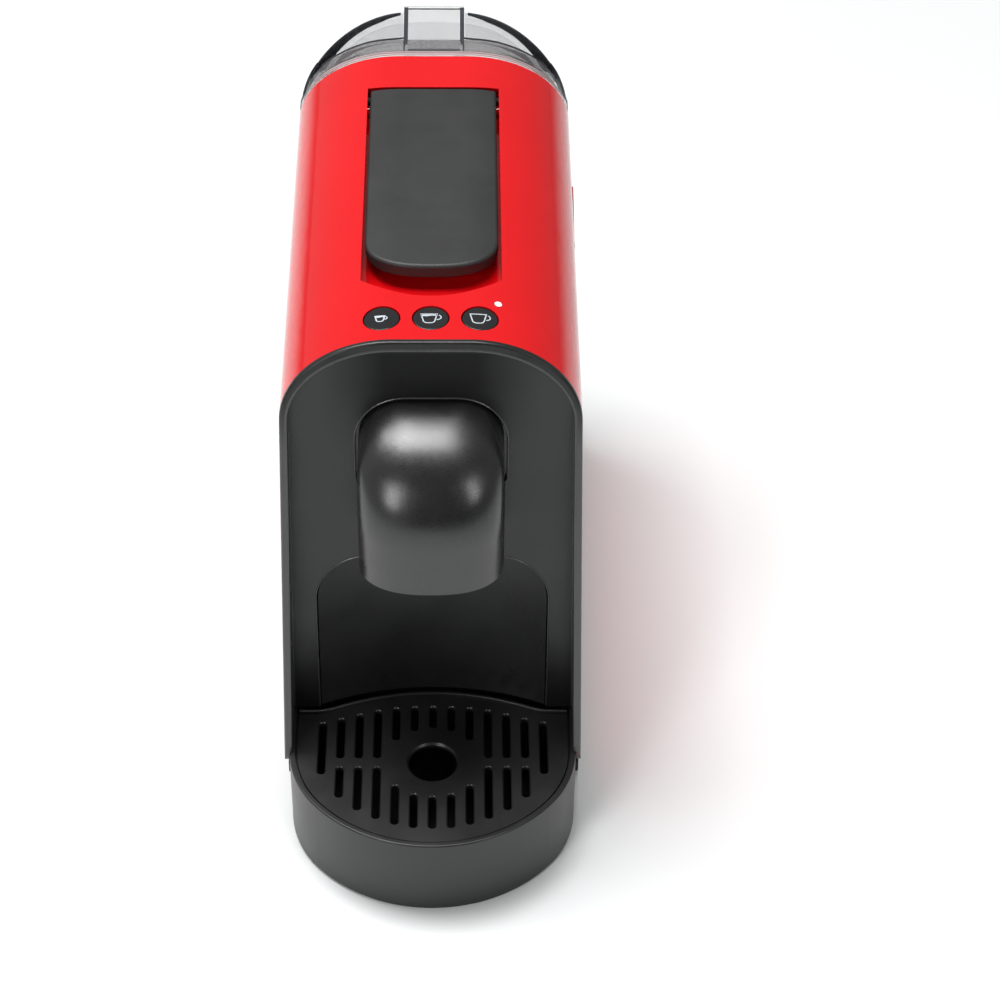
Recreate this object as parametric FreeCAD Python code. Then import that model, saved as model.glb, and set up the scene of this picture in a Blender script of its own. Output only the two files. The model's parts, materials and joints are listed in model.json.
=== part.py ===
import FreeCAD, Part
import math
import os
from FreeCAD import Vector as V

os.makedirs("parts", exist_ok=True)

# Pod coffee machine. Millimetres, +Z up, front is -Y, origin at the bottom
# centre of the outer box.

# ---------------------------------------------------------------- dimensions
H_TOP = 251.0        # top of the arched body
FLAT = 16.0          # half-width of the flat crown
RX, RZ = 49.0, 38.0  # elliptical shoulders
HW = 65.0            # half-width where the shoulder meets the side
Z_TAN = 213.0        # height of that point
FLARE = 0.0167       # the sides spread towards the base
T_SHELL = 1.8        # wall of the red cover
Y_TOP = -75.4        # front edge of the cover at the crown
TILT = 0.2162        # slope of the front edge, dy per dz
RIM_FWD = 2.2        # the black rim stands this far in front of the cover
RIM_W = 3.5          # width of the rim at the sides
RIM_WZ = 4.7         # and at the crown
Y_REAR = 133.8       # rear edge of the cover
Z_SILL = 10.0        # bottom edge of the cover
Z_ARM = 34.0         # bottom of the two arms beside the tray
Y_ARM = -97.0
P1_Y, P1_Z, P1_K = -94.8, 47.0, 0.0915   # recessed face of the front panel
NICHE_HW, NICHE_TOP, NICHE_R = 51.6, 134.4, 25.0
NICHE_ARC_R, NICHE_MID = 125.0, -83.0
SPOUT_HW, SPOUT_BOT, SPOUT_TOP, SPOUT_FRONT = 31.6, 152.0, 219.2, -128.7
SPOUT_HOLE_HW = 32.85
SPOUT_R = 20.6       # upper corners of the spout, seen from the front
SPOUT_N, SPOUT_D = 2.4, 22.0   # roundness and depth of its front corners in plan
TRAY_HW, TRAY_FRONT, TRAY_R, TRAY_RC = 65.6, -178.4, 70.0, 52.0
TRAY_Z0, TRAY_LIP, TRAY_BACK = 0.6, 44.0, -60.0
LEVER_HW, LEVER_FRONT_YC, LEVER_FRONT_B = 29.3, -4.0, 22.0
PIVOT_Y, PIVOT_Z, PIVOT_R = 103.4, 246.2, 4.8
POCKET_HW, POCKET_CORNER, POCKET_MID, POCKET_BACK = 30.6, -33.6, -46.3, 110.3
POCKET_REAR_R = 6.9  # the rear wall is hollowed round the hinge
POCKET_FLOOR = 238.0
CAM_S0, CAM_H, CAM_TRAVEL, CAM_DEG = 46.0, 20.0, 30.0, 80.0
BUTTON_Y, BUTTON_DX, BUTTON_R = -61.2, 20.9, 7.6
BREW_Z = 188.0
TANK_R, TANK_REAR = 92.0, 174.5
TANK_FRONT = 134.9
LID_AXIS_Y, LID_AXIS_Z = 175.6, 220.2
GAP = 0.35           # working gap between pieces that move past each other


# ------------------------------------------------------------------- helpers
def box(x0, x1, y0, y1, z0, z1):
    return Part.makeBox(x1 - x0, y1 - y0, z1 - z0, V(x0, y0, z0))


def cyl(r, p, d, length):
    return Part.makeCylinder(r, length, V(*p), V(*d))


def ring(r_out, r_in, p, d, length):
    return cyl(r_out, p, d, length).cut(cyl(r_in, p, d, length))


def fuse(shapes):
    out = shapes[0].multiFuse(shapes[1:])
    return out.removeSplitter()


def solid_of(shape):
    """The one solid of a boolean result, or the group of them."""
    s = shape.Solids
    if len(s) == 1:
        return s[0]
    return Part.makeCompound(s)


def rounded_edges(pts, radii, to3d):
    """Closed outline through 2-D points with rounded corners."""
    n = len(pts)
    starts, ends, mids = [], [], []
    for i in range(n):
        p = pts[i]
        a = pts[i - 1]
        b = pts[(i + 1) % n]
        r = radii[i]
        if r <= 0:
            starts.append(p)
            ends.append(p)
            mids.append(None)
            continue
        ua = (a[0] - p[0], a[1] - p[1])
        ub = (b[0] - p[0], b[1] - p[1])
        la, lb = math.hypot(*ua), math.hypot(*ub)
        ua = (ua[0] / la, ua[1] / la)
        ub = (ub[0] / lb, ub[1] / lb)
        ang = math.acos(max(-1, min(1, ua[0] * ub[0] + ua[1] * ub[1])))
        t = r / math.tan(ang / 2)
        starts.append((p[0] + ua[0] * t, p[1] + ua[1] * t))
        ends.append((p[0] + ub[0] * t, p[1] + ub[1] * t))
        bis = (ua[0] + ub[0], ua[1] + ub[1])
        lbis = math.hypot(*bis)
        bis = (bis[0] / lbis, bis[1] / lbis)
        c = r / math.sin(ang / 2)
        mids.append((p[0] + bis[0] * (c - r), p[1] + bis[1] * (c - r)))
    edges = []
    for i in range(n):
        if mids[i] is not None:
            edges.append(Part.Arc(to3d(*starts[i]), to3d(*mids[i]), to3d(*ends[i])).toShape())
        a, b = to3d(*ends[i]), to3d(*starts[(i + 1) % n])
        if a.distanceToPoint(b) > 1e-6:
            edges.append(Part.makeLine(a, b))
    return Part.Wire(edges)


def prism_x(pts, radii, x0, x1):
    w = rounded_edges(pts, radii, lambda y, z: V(x0, y, z))
    return Part.Face(w).extrude(V(x1 - x0, 0, 0))


def prism_y(pts, radii, y0, y1):
    w = rounded_edges(pts, radii, lambda x, z: V(x, y0, z))
    return Part.Face(w).extrude(V(0, y1 - y0, 0))


def prism_z(pts, radii, z0, z1):
    w = rounded_edges(pts, radii, lambda x, y: V(x, y, z0))
    return Part.Face(w).extrude(V(0, 0, z1 - z0))


def half_width(z):
    return HW + (Z_TAN - z) * FLARE


def arch(off, zb, y0, y1, offz=None):
    """The arched cross-section, taken in by off at the sides and offz at the crown."""
    offz = off if offz is None else offz
    a = V(-half_width(zb) + off, y0, zb)
    b = V(-HW + off, y0, Z_TAN)
    c = V(-FLAT, y0, H_TOP - offz)
    d = V(FLAT, y0, H_TOP - offz)
    e = V(HW - off, y0, Z_TAN)
    f = V(half_width(zb) - off, y0, zb)
    left = Part.Ellipse(V(-FLAT - RX + off, y0, Z_TAN), c, V(-FLAT, y0, Z_TAN))
    right = Part.Ellipse(V(FLAT + RX - off, y0, Z_TAN), d, V(FLAT, y0, Z_TAN))
    arc_l = Part.ArcOfEllipse(left, 0, math.pi / 2).toShape()
    arc_r = Part.ArcOfEllipse(right, 0, math.pi / 2).toShape()
    w = Part.Wire(Part.__sortEdges__([Part.makeLine(a, b), arc_l, Part.makeLine(c, d),
                                      arc_r, Part.makeLine(e, f), Part.makeLine(f, a)]))
    return Part.Face(w).extrude(V(0, y1 - y0, 0))


def super_front(a, b, n, yc, z, count=28):
    """Front half of a superellipse in plan, from (-a, yc) round to (a, yc)."""
    pts = []
    for i in range(count + 1):
        t = math.pi * i / count
        c, s = math.cos(t), math.sin(t)
        x = -a * math.copysign(abs(c) ** (2.0 / n), c)
        y = yc - b * abs(s) ** (2.0 / n)
        pts.append(V(x, y, z))
    return pts


def super_plan(a, b, n, yc, back, z0, z1):
    """Solid whose plan is a straight-sided U with a superellipse front."""
    pts = super_front(a, b, n, yc, z0)
    c = Part.BSplineCurve()
    c.interpolate(pts, InitialTangent=V(0, -1, 0), FinalTangent=V(0, 1, 0))
    p, q = V(a, back, z0), V(-a, back, z0)
    w = Part.Wire([c.toShape(), Part.makeLine(pts[-1], p), Part.makeLine(p, q), Part.makeLine(q, pts[0])])
    return Part.Face(w).extrude(V(0, 0, z1 - z0))


def tray_plan(off, back, z0, z1):
    """Plan of the tray: straight sides, then corner arcs, then one front arc."""
    hw, r, rc = TRAY_HW - off, TRAY_R - off, TRAY_RC - off
    yc = TRAY_FRONT + TRAY_R
    cx = hw - rc
    cy = yc - math.sqrt((r - rc) ** 2 - cx ** 2)
    k = r / (r - rc)
    tx, ty = cx * k, yc + (cy - yc) * k
    ang = math.atan2(ty - cy, tx - cx) / 2
    mx, my = cx + rc * math.cos(ang), cy + rc * math.sin(ang)
    p = lambda x, y: V(x, y, z0)
    edges = [Part.makeLine(p(hw, back), p(hw, cy)), Part.Arc(p(hw, cy), p(mx, my), p(tx, ty)).toShape(),
             Part.Arc(p(tx, ty), p(0, yc - r), p(-tx, ty)).toShape(),
             Part.Arc(p(-tx, ty), p(-mx, my), p(-hw, cy)).toShape(),
             Part.makeLine(p(-hw, cy), p(-hw, back)), Part.makeLine(p(-hw, back), p(hw, back))]
    return Part.Face(Part.Wire(edges)).extrude(V(0, 0, z1 - z0))


def y_front(z):
    return Y_TOP - (H_TOP - z) * TILT


def y_panel(z):
    return P1_Y + (z - P1_Z) * P1_K


def tilt_slab(f, d0, d1, z0=-20.0, z1=300.0):
    """Everything between two copies of a tilted front plane."""
    pts = [(f(z0) + d0, z0), (f(z1) + d0, z1), (f(z1) + d1, z1), (f(z0) + d1, z0)]
    return prism_x(pts, [0] * 4, -100, 100)


def tank_plan(off, z0, z1, y0=None):
    """D-shaped plan of the tank: straight front and sides, curved back."""
    if y0 is None:
        y0 = TANK_FRONT + off
    hw = HW - off
    r = TANK_R - off
    yc = TANK_REAR - TANK_R
    rc = 14.0 - off
    # corner arc tangent to the side and to the back arc
    cx = hw - rc
    cy = yc + math.sqrt((r - rc) ** 2 - cx ** 2)
    k = r / (r - rc)
    tx, ty = cx * k, yc + (cy - yc) * k
    ang = math.atan2(ty - cy, tx - cx) / 2
    mx, my = cx + rc * math.cos(ang), cy + rc * math.sin(ang)
    p = lambda x, y: V(x, y, z0)
    edges = [Part.makeLine(p(-hw, y0), p(hw, y0)), Part.makeLine(p(hw, y0), p(hw, cy)),
             Part.Arc(p(hw, cy), p(mx, my), p(tx, ty)).toShape(),
             Part.Arc(p(tx, ty), p(0, yc + r), p(-tx, ty)).toShape(),
             Part.Arc(p(-tx, ty), p(-mx, my), p(-hw, cy)).toShape(),
             Part.makeLine(p(-hw, cy), p(-hw, y0))]
    return Part.Face(Part.Wire(edges)).extrude(V(0, 0, z1 - z0))


def tube_path(pts, radii):
    """Straight runs joined by tangent arcs."""
    pts = [V(*p) for p in pts]
    edges, last = [], pts[0]
    for i in range(1, len(pts) - 1):
        p, r = pts[i], radii[i - 1]
        ua = (pts[i - 1] - p).normalize()
        ub = (pts[i + 1] - p).normalize()
        ang = ua.getAngle(ub)
        t = r / math.tan(ang / 2)
        a, b = p + ua * t, p + ub * t
        bis = (ua + ub).normalize()
        m = p + bis * (r / math.sin(ang / 2) - r)
        if last.distanceToPoint(a) > 1e-6:
            edges.append(Part.makeLine(last, a))
        edges.append(Part.Arc(a, m, b).toShape())
        last = b
    edges.append(Part.makeLine(last, pts[-1]))
    return Part.Wire(edges)


def tube(pts, radii, r_out, r_in):
    path = tube_path(pts, radii)
    d = (V(*pts[1]) - V(*pts[0])).normalize()

    def sweep(r):
        prof = Part.Wire(Part.Circle(V(*pts[0]), d, r).toShape())
        return path.makePipeShell([prof], True, False)

    out = sweep(r_out)
    out = Part.Solid(out) if out.ShapeType != "Solid" else out
    inner = sweep(r_in)
    inner = Part.Solid(inner) if inner.ShapeType != "Solid" else inner
    return out.cut(inner), path.Length


def fillet_where(shape, r, test):
    edges = [e for e in shape.Edges if test(e)]
    if not edges:
        return shape
    return shape.makeFillet(r, edges)


def mirror_x(shape):
    return shape.mirror(V(0, 0, 0), V(1, 0, 0))


nodes = {}

# ------------------------------------------------------- side outline, cover
side_keep = prism_x([(Y_REAR, 270), (y_front(270), 270), (y_front(Z_ARM), Z_ARM), (Y_ARM, Z_ARM),
                     (Y_ARM, Z_SILL), (Y_REAR, Z_SILL)], [0, 0, 9, 5, 5, 0], -100, 100)
rim_keep = prism_x([(0, 270), (y_front(270) - RIM_FWD, 270), (y_front(Z_ARM) - RIM_FWD, Z_ARM), (0, Z_ARM)],
                   [0, 0, 9, 0], -100, 100)

tray_room = tray_plan(-GAP, TRAY_BACK + 0.6, -5.0, TRAY_LIP + 0.6)

# lever pocket: straight sides, sharp front corners, arched front, scooped floor
def pocket_tool(off):
    hw, yk, ym, yb = POCKET_HW + off, POCKET_CORNER - off * 0.6, POCKET_MID - off, POCKET_BACK + off
    p = lambda x, y: V(x, y, 200.0)
    plan = Part.Face(Part.Wire([Part.Arc(p(-hw, yk), p(0, ym), p(hw, yk)).toShape(), Part.makeLine(p(hw, yk), p(hw, yb)),
                                Part.makeLine(p(hw, yb), p(-hw, yb)), Part.makeLine(p(-hw, yb), p(-hw, yk))])).extrude(V(0, 0, 62))
    prof = prism_x([(-60 - off, 262), (-47.2 - off, 252.4), (-40.0 - off, 242.5 - off), (-27.0, POCKET_FLOOR - off),
                    (POCKET_BACK + off, POCKET_FLOOR - off), (POCKET_BACK + off, 262)],
                   [0, 6, 12, 16, 3, 0], -60, 60)
    over = box(-60, 60, PIVOT_Y, 130, PIVOT_Z, 270).cut(cyl(POCKET_REAR_R + off, (-70, PIVOT_Y, PIVOT_Z), (1, 0, 0), 140))
    return plan.common(prof).cut(over)


shell = arch(0, 0, -145, Y_REAR).cut(arch(T_SHELL, -1, -146, Y_REAR + 1))
tub = pocket_tool(1.8).common(arch(0, 0, -145, Y_REAR))
pocket = pocket_tool(0)
shell = shell.fuse(tub).cut(pocket).common(side_keep)
shell = shell.cut(tray_room)
# button holes and lamp hole
for i in (-1, 0, 1):
    shell = shell.cut(cyl(BUTTON_R + 0.45, (i * BUTTON_DX, BUTTON_Y, 230), (0, 0, 1), 30))
LAMP = (28.8, -50.2)
shell = shell.cut(cyl(1.75, (LAMP[0], LAMP[1], 236), (0, 0, 1), 20))
# openings in the pocket floor: capsule slot and cam slots
shell = shell.cut(box(-21, 21, -8, 22, 230, 240))
for s in (-1, 1):
    x0, x1 = sorted((s * 15.9, s * 21.1))
    shell = shell.cut(box(x0, x1, 44, POCKET_BACK, 230, 240)).cut(box(x0, x1, POCKET_BACK - 1, POCKET_BACK + 3, 230, 245.4))
# lever shaft seats in the pocket walls
shell = shell.cut(cyl(2.0, (-32.6, PIVOT_Y, PIVOT_Z), (1, 0, 0), 65.2))
# side switch opening
SW_Y, SW_Z = 73.5, 190.0
sw_hole = box(58, 72, SW_Y - 20.0, SW_Y + 20.0, SW_Z - 6.0, SW_Z + 6.0)
shell = shell.cut(sw_hole)
nodes["top_shell"] = solid_of(shell.removeSplitter())

# ---------------------------------------------------------------- front panel
rim = arch(0, 0, -150, 0).cut(arch(RIM_W, -1, -151, 1, RIM_WZ)).common(tilt_slab(y_front, -RIM_FWD, 0))
front_edges = []
for e in rim.Edges:
    mid = e.valueAt((e.FirstParameter + e.LastParameter) / 2)
    if abs(mid.y - (y_front(mid.z) - RIM_FWD)) < 0.05 and mid.z > 2:
        front_edges.append(e)
for r in (1.3, 1.1, 0.9):
    try:
        rr = rim.makeFillet(r, front_edges)
        if rr.isValid():
            rim = rr
            print("rim fillet", r)
            break
    except Exception as err:
        print("rim fillet", r, "not possible")
rim = rim.common(rim_keep)
sleeve = arch(T_SHELL + 0.2, 0, -150, 0).cut(arch(RIM_W, -1, -151, 1, RIM_WZ))
sleeve = sleeve.common(tilt_slab(y_front, 0.0, 200)).common(tilt_slab(y_panel, -60, 4.6))
plate = arch(T_SHELL + 0.2, 0, -150, 0).common(tilt_slab(y_panel, 0, 2.6)).common(tilt_slab(y_front, -1.0, 60))
panel = fuse([rim, sleeve.common(rim_keep), plate.common(rim_keep)])
niche_cut = prism_y([(-NICHE_HW - 0.5, 30), (NICHE_HW + 0.5, 30), (NICHE_HW + 0.5, NICHE_TOP + 0.5),
                     (-NICHE_HW - 0.5, NICHE_TOP + 0.5)], [0, 0, NICHE_R, NICHE_R], -140, -40)
HOLE_BOT = 176.2     # below this line the spout stands in front of the panel
hole_pts = [(-SPOUT_HOLE_HW, HOLE_BOT), (SPOUT_HOLE_HW, HOLE_BOT), (SPOUT_HOLE_HW, SPOUT_TOP + 1.4),
            (-SPOUT_HOLE_HW, SPOUT_TOP + 1.4)]
spout_cut = prism_y(hole_pts, [2, 2, SPOUT_R + 1.3, SPOUT_R + 1.3], -140, -40)
panel = panel.cut(niche_cut).cut(spout_cut).cut(tray_room)
panel = panel.cut(box(-70, 70, -95.2, -40, 0, TRAY_LIP + 1.6))
nodes["front_panel"] = max(panel.removeSplitter().Solids, key=lambda q: q.Volume)


# ---------------------------------------------------------------- coffee spout
def spout_body(off, z_low, back):
    """Dome lofted through U-shaped plan sections."""
    top = SPOUT_TOP - off
    share = [0.0, 0.11, 0.25, 0.36, 0.47, 0.58, 0.68, 0.765, 0.835, 0.89, 0.93, 0.963, 0.985, 0.9955, 0.9992]
    wires = []
    for k in share:
        h = SPOUT_BOT + k * (SPOUT_TOP - SPOUT_BOT)
        z = z_low + k * (top - z_low)
        u = max(0.0, h - (SPOUT_TOP + 0.3 - SPOUT_R))
        a = SPOUT_HW - SPOUT_R + math.sqrt(max(4.0, SPOUT_R ** 2 - u * u)) - off
        v = max(0.0, (h - 177.0) / (SPOUT_TOP - 177.0))
        f = -80.0 - (-80.0 - SPOUT_FRONT - off) * math.sqrt(max(0.001, 1 - v * v))
        d = min(SPOUT_D - off, (back - f) - 3.0)
        pts = super_front(a, d, SPOUT_N, f + d, z, 24)
        c = Part.BSplineCurve()
        c.interpolate(pts, InitialTangent=V(0, -1, 0), FinalTangent=V(0, 1, 0))
        p, q = V(a, back, z), V(-a, back, z)
        wires.append(Part.Wire([c.toShape(), Part.makeLine(pts[-1], p), Part.makeLine(p, q),
                                Part.makeLine(q, pts[0])]))
    return Part.makeLoft(wires, True, False)


dome = spout_body(0.0, SPOUT_BOT, -70.0)
dome = dome.cut(tilt_slab(y_panel, 4.4, 60)).cut(box(-40, 40, -94.0, -60, 150, SPOUT_BOT + 3.2))
dome = dome.cut(tilt_slab(y_panel, -0.06, 60).common(box(-60, 60, -140, 0, 120, HOLE_BOT + 0.3)))
cavity = spout_body(2.4, SPOUT_BOT - 3.0, -66.0)
flange_pts = [(-36.0, HOLE_BOT - 4.0), (36.0, HOLE_BOT - 4.0), (36.0, SPOUT_TOP + 5.0), (-36.0, SPOUT_TOP + 5.0)]
flange = prism_y(flange_pts, [2, 2, SPOUT_R + 4.7, SPOUT_R + 4.7], -140, -40).common(tilt_slab(y_panel, 2.9, 4.9))
cover = fuse([dome, flange]).cut(cavity)
nodes["spout_cover"] = solid_of(cover)

NOZ_Y = -108.0
noz_plate = super_plan(26.0, 17.0, 2.15, -105.0, -92.0, SPOUT_BOT + 1.2, SPOUT_BOT + 3.4)
nozzle = fuse([noz_plate, cyl(9.0, (0, NOZ_Y, 149.6), (0, 0, 1), 12.0), cyl(6.5, (0, NOZ_Y, 155), (0, 0, 1), 15.0)])
nozzle = nozzle.cut(cyl(4.0, (0, NOZ_Y, 140), (0, 0, 1), 24.0)).cut(cyl(5.0, (0, NOZ_Y, 161), (0, 0, 1), 20.0))
nodes["outlet_nozzle"] = solid_of(nozzle)
out_pipe, _ = tube([(0, -40.0, 182), (0, NOZ_Y, 182), (0, NOZ_Y, 161.0)], [11.0], 4.9, 3.4)
nodes["outlet_tube"] = solid_of(out_pipe)

# ------------------------------------------------------------------ base plate
base = box(-half_width(Z_SILL), half_width(Z_SILL), Y_ARM, Y_REAR, 3.0, Z_SILL - 0.05)
base = base.cut(tray_room).cut(box(-70, 70, -200, TRAY_BACK + 0.6, 0, 30).common(box(-TRAY_HW - GAP, TRAY_HW + GAP, -200, 0, 0, 30)))
base = base.cut(box(-62, 62, -54, 128, 6.0, 20))
ext = tank_plan(0.0, 3.0, 30.0, Y_REAR - 0.2)
ext = ext.cut(tank_plan(3.0, 6.0, 26.0, Y_REAR + 2.6))
base = base.fuse(ext)
# pump cradle, bin rails, uprights for the chassis
PUMP_X, PUMP_Z = -24.0, 52.0
saddles, rails = [], []
for y in (52.0, 84.0):
    saddles.append(solid_of(box(PUMP_X - 20, PUMP_X + 20, y, y + 6, 6.0, 42.0).cut(cyl(24.0, (PUMP_X, y - 1, PUMP_Z), (0, 1, 0), 8))))
for s in (-1, 1):
    x0, x1 = sorted((s * 40.0, s * 44.0))
    rails.append(box(x0, x1, -52, 10, 6.0, 45.6))
nodes["pump_cradle"] = Part.makeCompound(saddles)
nodes["bin_rails"] = Part.makeCompound(rails)
# openings for the tank outlet
SEAT_Y = 154.0
base = base.cut(cyl(11.05, (0, SEAT_Y, 20), (0, 0, 1), 20)).cut(cyl(5.0, (0, 120, 20), (0, 1, 0), 22))
GLAND_Y = TANK_REAR - TANK_R + math.sqrt(TANK_R ** 2 - 40.0 ** 2)
base = base.cut(cyl(6.05, (-40, 150, 16), (0, 1, 0), 30)).cut(cyl(8.3, (-40, GLAND_Y + 0.9, 16), (0, 1, 0), 20))
SCREWS = [(-50, -40), (50, -40), (-50, 110), (50, 110)]
for x, y in SCREWS:
    base = base.fuse(cyl(6.0, (x, y, 6.0), (0, 0, 1), 12)).cut(cyl(1.6, (x, y, 5.2), (0, 0, 1), 20)).cut(cyl(4.0, (x, y, 2.0), (0, 0, 1), 3.2))
nodes["base_plate"] = solid_of(base.removeSplitter())

screws = []
for x, y in SCREWS:
    screws.append(fuse([cyl(3.6, (x, y, 3.3), (0, 0, 1), 1.9), cyl(1.6, (x, y, 5.2), (0, 0, 1), 11.0)])
                  .cut(box(x - 2.2, x + 2.2, y - 0.4, y + 0.4, 3.0, 4.2)).cut(box(x - 0.4, x + 0.4, y - 2.2, y + 2.2, 3.0, 4.2)))
nodes["base_screws"] = Part.makeCompound(screws)

feet = []
for x, y in ((-57, -48), (57, -48), (-46, 150), (46, 150)):
    f = cyl(7.0, (x, y, 0.0), (0, 0, 1), 3.0)
    feet.append(f.makeFillet(0.8, [e for e in f.Edges if abs(e.BoundBox.ZMax) < 1e-6]))
nodes["feet"] = Part.makeCompound(feet)

gy = GLAND_Y
gland = fuse([cyl(6.0, (-40, gy - 6.0, 16), (0, 1, 0), 7.0), cyl(8.0, (-40, gy + 1.0, 16), (0, 1, 0), 2.2),
              Part.makeCone(6.2, 4.6, 8.0, V(-40, gy + 3.2, 16), V(0, 1, 0))])
gland = gland.cut(cyl(3.4, (-40, gy - 10, 16), (0, 1, 0), 40))
nodes["cord_gland"] = solid_of(gland)

# ------------------------------------------------------------------ rear panel
rear = arch(T_SHELL + 0.25, Z_SILL + 0.3, Y_REAR - 3.0, Y_REAR - 0.4)
rear = rear.cut(cyl(5.0, (0, 120, 20), (0, 1, 0), 20))
REAR_SCREWS = [(-52, 40), (52, 40), (-46, 200), (46, 200)]
for x, z in REAR_SCREWS:
    rear = rear.cut(cyl(1.6, (x, 125, z), (0, 1, 0), 12)).cut(cyl(3.4, (x, Y_REAR - 1.8, z), (0, 1, 0), 3))
nodes["rear_panel"] = solid_of(rear)
rs = []
for x, z in REAR_SCREWS:
    rs.append(fuse([cyl(3.2, (x, Y_REAR - 1.8, z), (0, 1, 0), 1.3), cyl(1.5, (x, Y_REAR - 9.0, z), (0, 1, 0), 7.2)])
              .cut(box(x - 2, x + 2, Y_REAR - 1.2, Y_REAR, z - 0.35, z + 0.35)).cut(box(x - 0.35, x + 0.35, Y_REAR - 1.2, Y_REAR, z - 2, z + 2)))
nodes["rear_screws"] = Part.makeCompound(rs)

# -------------------------------------------------------------- switch on side
xs = half_width(SW_Z)
bez = prism_x([(SW_Y - 33.5, SW_Z - 9), (SW_Y + 33.5, SW_Z - 9), (SW_Y + 33.5, SW_Z + 9), (SW_Y - 33.5, SW_Z + 9)],
              [8.9] * 4, xs - 0.6, xs + 2.0)
# a low wedge, thicker towards the rear
bez = bez.common(prism_z([(xs - 0.6, SW_Y - 34), (xs + 0.35, SW_Y - 34), (xs + 1.35, SW_Y + 34), (xs - 0.6, SW_Y + 34)], [0] * 4, SW_Z - 20, SW_Z + 20))
bez = bez.cut(arch(-0.03, 100, 0, 120))
bez = fuse([bez, box(xs - 4.0, xs + 0.5, SW_Y - 19.8, SW_Y + 19.8, SW_Z - 5.8, SW_Z + 5.8)])
bez = bez.cut(box(xs - 6, xs + 2, SW_Y - 14.0, SW_Y + 14.0, SW_Z - 4.4, SW_Z + 4.4))
bez = bez.cut(cyl(0.95, (xs - 2.2, SW_Y, SW_Z - 5.6), (0, 0, 1), 11.2))
nodes["switch_bezel"] = solid_of(bez)
rock = prism_z([(xs - 3.4, SW_Y - 13.4), (xs + 1.2, SW_Y - 13.4), (xs + 0.5, SW_Y), (xs + 1.2, SW_Y + 13.4), (xs - 3.4, SW_Y + 13.4)],
               [0.8, 1.0, 12, 1.0, 0.8], SW_Z - 4.0, SW_Z + 4.0)
rock = fuse([rock, cyl(0.9, (xs - 2.2, SW_Y, SW_Z - 5.5), (0, 0, 1), 11.0)])
nodes["power_rocker"] = solid_of(rock)

# ------------------------------------------------------------- buttons and lamp
names = {-1: "button_small", 0: "button_medium", 1: "button_large"}
skin = arch(0.25, 200, -90, -40)
for i in (-1, 0, 1):
    x = i * BUTTON_DX
    b = cyl(BUTTON_R, (x, BUTTON_Y, 243.4), (0, 0, 1), 12).common(skin)
    top_edges = [e for e in b.Edges if e.BoundBox.ZMin > 246]
    try:
        bb = b.makeFillet(0.5, top_edges)
        if bb.isValid():
            b = bb
    except Exception as err:
        print("button fillet left out:", err)
    b = fuse([b, cyl(BUTTON_R + 1.0, (x, BUTTON_Y, 243.4), (0, 0, 1), 1.6), cyl(2.2, (x, BUTTON_Y, 240.2), (0, 0, 1), 4.0)])
    nodes[names[i]] = solid_of(b)
lamp = fuse([cyl(1.6, (LAMP[0], LAMP[1], 237.8), (0, 0, 1), 14).common(arch(0.1, 200, -90, -40)),
             cyl(2.4, (LAMP[0], LAMP[1], 237.8), (0, 0, 1), 4.0)])
nodes["status_lamp"] = solid_of(lamp)
pcb = box(-34, 34, -73.5, -48.5, 233.0, 234.6)
nodes["control_board"] = solid_of(pcb.makeFillet(2.0, [e for e in pcb.Edges if e.BoundBox.ZLength > 1.5]))
tacts = []
for i in (-1, 0, 1):
    x = i * BUTTON_DX
    tacts.append(fuse([box(x - 3, x + 3, BUTTON_Y - 3, BUTTON_Y + 3, 234.6, 237.8), cyl(1.7, (x, BUTTON_Y, 237.5), (0, 0, 1), 1.1)]))
nodes["button_switches"] = Part.makeCompound(tacts)

# ------------------------------------------------------------------------ lever
slab_prof = prism_x([(-40, 245.0), (PIVOT_Y, 245.0), (PIVOT_Y, 262), (-40, 262)], [0] * 4, -60, 60)
hub = cyl(PIVOT_R, (-60, PIVOT_Y, PIVOT_Z), (1, 0, 0), 120)
plan = super_plan(LEVER_HW, LEVER_FRONT_B, 2.6, LEVER_FRONT_YC, PIVOT_Y + 10, 230, 262)
heel = box(-60, 60, PIVOT_Y - 1, PIVOT_Y + 3.4, PIVOT_Z, 262)
handle = fuse([slab_prof, hub, heel]).common(plan).common(arch(0, 0, -60, 130))
try:
    tops = []
    for e in handle.Edges:
        m = e.valueAt((e.FirstParameter + e.LastParameter) / 2)
        if m.z > 247.5 and m.y < PIVOT_Y + 3.3 and (abs(abs(m.x) - LEVER_HW) < 0.05 or m.y < LEVER_FRONT_YC - 1) and e.BoundBox.ZLength < 2.2:
            tops.append(e)
    hh = handle.makeFillet(1.6, tops)
    if hh.isValid():
        handle = hh
except Exception as err:
    print("lever fillet left out:", err)
handle = handle.cut(super_plan(26.0, 17.0, 2.6, 4.0, 92.0, 240.0, 247.8))
handle = handle.fuse(box(-22.5, 22.5, 40.0, 96.0, 244.9, 248.4).cut(box(-14, 14, 30, 100, 240, 250)).cut(box(-15, 15, 30, 100, 240, 250)))
handle = handle.cut(cyl(2.05, (-60, PIVOT_Y, PIVOT_Z), (1, 0, 0), 120))
nodes["lever_handle"] = solid_of(handle.removeSplitter())
nodes["lever_shaft"] = cyl(2.0, (-32.4, PIVOT_Y, PIVOT_Z), (1, 0, 0), 64.8)

# cam plates: the slot is the path of the follower pin seen from the lever
K_CAM = CAM_TRAVEL / math.radians(CAM_DEG)


def cam_point(t):
    s = CAM_S0 - K_CAM * t
    return (-s * math.cos(t) + CAM_H * math.sin(t), -s * math.sin(t) - CAM_H * math.cos(t))


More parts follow.
